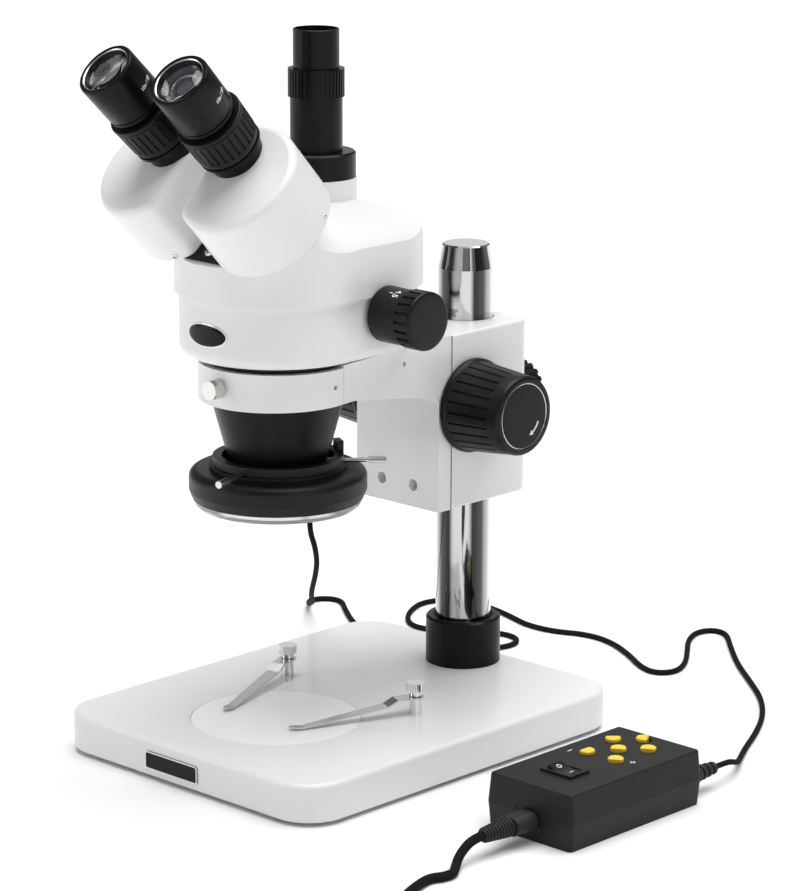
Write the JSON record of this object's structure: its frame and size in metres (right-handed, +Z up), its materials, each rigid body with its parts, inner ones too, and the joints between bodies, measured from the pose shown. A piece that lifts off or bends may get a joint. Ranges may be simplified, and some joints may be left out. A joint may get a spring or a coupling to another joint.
{
  "type": "stereo microscope",
  "caption": "Trinocular stereo zoom microscope on a pillar stand, with inclined eyepieces, geared focus arm, stage clips, ring light and its cabled push-button controller.",
  "frame": {"origin": "on the table under the centre of the base plate", "axes": "+Z up, the user sits on the -Y side, +X to the user's right"},
  "size_m": [0.5149, 0.5524, 0.4025],
  "materials": {
    "enamel": "off-white enamel on a casting",
    "black_metal": "satin black anodised",
    "chrome": "polished",
    "steel": "brushed",
    "nickel": "nickel plated",
    "brass": "turned",
    "black_plastic": "fine textured",
    "knob_plastic": "satin",
    "rubber": "matt",
    "glass": "coated",
    "clear_cover": "clear moulded",
    "stage_white": "satin white",
    "yellow": "glossy",
    "board": "solder mask"
  },
  "bodies": {
    "stand": {"base_plate": "enamel", "base_feet": "rubber", "pillar": "chrome", "pillar_collar": "black_metal", "stage_plate": "stage_white", "clip_posts": "chrome", "controller_top": "black_plastic", "controller_bottom": "black_plastic", "controller_board": "board", "mains_inlet": "black_plastic", "switch_frame": "black_plastic", "controller_gland": "rubber", "lead_connector": "rubber", "mains_lead": "rubber", "mains_coil": "rubber", "wall_plug": "rubber", "led_cord_drop": "rubber", "led_cord_table": "rubber"},
    "clip_left": {"clip_left": "steel"},
    "clip_right": {"clip_right": "steel"},
    "rocker": {"rocker": "knob_plastic"},
    "bush": {"pillar_bush": "brass"},
    "block": {"focus_block": "enamel", "slide_guide": "enamel"},
    "lock_knob": {"lock_knob": "knob_plastic"},
    "pinion": {"pinion_shaft": "steel", "focus_knob_right": "knob_plastic"},
    "left_knob": {"focus_knob_left": "knob_plastic"},
    "carriage": {"carriage_arm": "enamel", "focus_rack": "brass"},
    "ring_thumb_screw": {"ring_thumb_screw": "nickel"},
    "head": {"head_lower_housing": "enamel", "head_upper_housing": "enamel", "objective_barrel": "black_metal", "objective_lenses": "glass", "port_tube": "black_metal", "light_housing": "black_plastic", "led_board": "board", "light_cover": "clear_cover", "light_screws": "nickel", "light_gland": "rubber"},
    "port_ring": {"port_ring": "black_metal"},
    "zoom": {"zoom_shaft": "steel", "zoom_knobs": "knob_plastic"},
    "lens_carrier_lower": {"lens_carrier_lower": "black_metal"},
    "lens_carrier_upper": {"lens_carrier_upper": "black_metal"},
    "eye_right": {"prism_box_right": "enamel", "eye_tube_right": "black_metal"},
    "eye_left": {"prism_box_left": "enamel", "eye_tube_left": "black_metal"},
    "diopter_right": {"diopter_ring_right": "black_metal"},
    "diopter_left": {"diopter_ring_left": "black_metal"},
    "eyepiece_right": {"eyepiece_right": "black_metal"},
    "eyepiece_left": {"eyepiece_left": "black_metal"},
    "button_left": {"button_left": "yellow"},
    "button_back": {"button_back": "yellow"},
    "button_right": {"button_right": "yellow"},
    "button_near": {"button_near": "yellow"},
    "button_minus": {"button_minus": "yellow"},
    "button_plus": {"button_plus": "yellow"}
  },
  "joints": [
    {"name": "height_slide", "type": "slide", "parent": "stand", "child": "bush", "axis": [0, 0, 1], "range_m": [-0.06, 0.028], "deforming": ["led_cord_drop"]},
    {"name": "arm_swing", "type": "hinge", "parent": "bush", "child": "block", "pos_m": [0, 0.1008, 0.178], "axis": [0, 0, 1], "range_deg": [-90, 90]},
    {"name": "lock_turn", "type": "hinge", "parent": "block", "child": "lock_knob", "pos_m": [0, 0.137, 0.178], "axis": [0, 1, 0], "range_deg": [-120, 120]},
    {"name": "focus_slide", "type": "slide", "parent": "block", "child": "carriage", "axis": [0, 0, 1], "range_m": [-0.025, 0.025]},
    {"name": "pinion_turn", "type": "hinge", "parent": "block", "child": "pinion", "pos_m": [0, 0.071, 0.186], "axis": [1, 0, 0], "range_deg": [-226, 226]},
    {"name": "left_knob_tension", "type": "hinge", "parent": "pinion", "child": "left_knob", "pos_m": [-0.05, 0.071, 0.186], "axis": [1, 0, 0], "range_deg": [-60, 60]},
    {"name": "ring_thumb_turn", "type": "hinge", "parent": "carriage", "child": "ring_thumb_screw", "pos_m": [0, -0.0925, 0.217], "axis": [0, -1, 0], "range_deg": [-180, 180]},
    {"name": "head_swivel", "type": "hinge", "parent": "carriage", "child": "head", "pos_m": [0, -0.049, 0.217], "axis": [0, 0, 1], "range_deg": [-180, 180]},
    {"name": "zoom_turn", "type": "hinge", "parent": "head", "child": "zoom", "pos_m": [0, -0.022, 0.2555], "axis": [1, 0, 0], "range_deg": [-135, 135]},
    {"name": "lower_lens_travel", "type": "slide", "parent": "head", "child": "lens_carrier_lower", "axis": [0, 0, 1], "range_m": [-0.0061, 0.0061]},
    {"name": "upper_lens_travel", "type": "slide", "parent": "head", "child": "lens_carrier_upper", "axis": [0, 0, 1], "range_m": [-0.0061, 0.0061]},
    {"name": "port_ring_turn", "type": "hinge", "parent": "head", "child": "port_ring", "pos_m": [0, -0.0189, 0.374], "axis": [0, 0, 1], "range_deg": [-150, 150]},
    {"name": "eye_right_swing", "type": "hinge", "parent": "head", "child": "eye_right", "pos_m": [0.02971, -0.0851, 0.30205], "axis": [0.0624, -0.7022, 0.7093], "range_deg": [-20, 4]},
    {"name": "eye_left_swing", "type": "hinge", "parent": "head", "child": "eye_left", "pos_m": [-0.02971, -0.0851, 0.30205], "axis": [-0.0624, -0.7022, 0.7093], "range_deg": [-4, 20]},
    {"name": "diopter_right_turn", "type": "hinge", "parent": "eye_right", "child": "diopter_right", "pos_m": [0.02538, -0.11541, 0.36041], "axis": [0.0624, -0.7022, 0.7093], "range_deg": [-150, 150]},
    {"name": "diopter_left_turn", "type": "hinge", "parent": "eye_left", "child": "diopter_left", "pos_m": [-0.02538, -0.11541, 0.36041], "axis": [-0.0624, -0.7022, 0.7093], "range_deg": [-150, 150]},
    {"name": "eyepiece_right_focus", "type": "slide", "parent": "eye_right", "child": "eyepiece_right", "axis": [0.0624, -0.7022, 0.7093], "range_m": [-0.001, 0.001]},
    {"name": "eyepiece_left_focus", "type": "slide", "parent": "eye_left", "child": "eyepiece_left", "axis": [-0.0624, -0.7022, 0.7093], "range_m": [-0.001, 0.001]},
    {"name": "clip_right_swing", "type": "hinge", "parent": "stand", "child": "clip_right", "pos_m": [0.0505, 0.0073, 0.0334], "axis": [0, 0, 1], "range_deg": [-10, 70]},
    {"name": "clip_left_swing", "type": "hinge", "parent": "stand", "child": "clip_left", "pos_m": [-0.0505, 0.0073, 0.0334], "axis": [0, 0, 1], "range_deg": [-70, 10]},
    {"name": "rocker_tip", "type": "hinge", "parent": "stand", "child": "rocker", "pos_m": [0.1874, -0.024, 0.0292], "axis": [0, 1, 0], "range_deg": [-14, 0]},
    {"name": "button_left_press", "type": "slide", "parent": "stand", "child": "button_left", "axis": [0, 0, 1], "range_m": [-0.001, 0], "stiffness_N_per_m": 600},
    {"name": "button_back_press", "type": "slide", "parent": "stand", "child": "button_back", "axis": [0, 0, 1], "range_m": [-0.001, 0], "stiffness_N_per_m": 600},
    {"name": "button_right_press", "type": "slide", "parent": "stand", "child": "button_right", "axis": [0, 0, 1], "range_m": [-0.001, 0], "stiffness_N_per_m": 600},
    {"name": "button_near_press", "type": "slide", "parent": "stand", "child": "button_near", "axis": [0, 0, 1], "range_m": [-0.001, 0], "stiffness_N_per_m": 600},
    {"name": "button_minus_press", "type": "slide", "parent": "stand", "child": "button_minus", "axis": [0, 0, 1], "range_m": [-0.001, 0], "stiffness_N_per_m": 600},
    {"name": "button_plus_press", "type": "slide", "parent": "stand", "child": "button_plus", "axis": [0, 0, 1], "range_m": [-0.001, 0], "stiffness_N_per_m": 600}
  ],
  "couplings": [
    {"joint": "pinion_turn", "follows": "focus_slide", "rad_per_m": -157.09},
    {"joint": "lower_lens_travel", "follows": "zoom_turn", "m_per_rad": 0.00255},
    {"joint": "upper_lens_travel", "follows": "zoom_turn", "m_per_rad": -0.00255},
    {"joint": "eye_left_swing", "follows": "eye_right_swing", "ratio": -1},
    {"joint": "eyepiece_right_focus", "follows": "diopter_right_turn", "m_per_rad": 0.00038},
    {"joint": "eyepiece_left_focus", "follows": "diopter_left_turn", "m_per_rad": 0.00038}
  ]
}
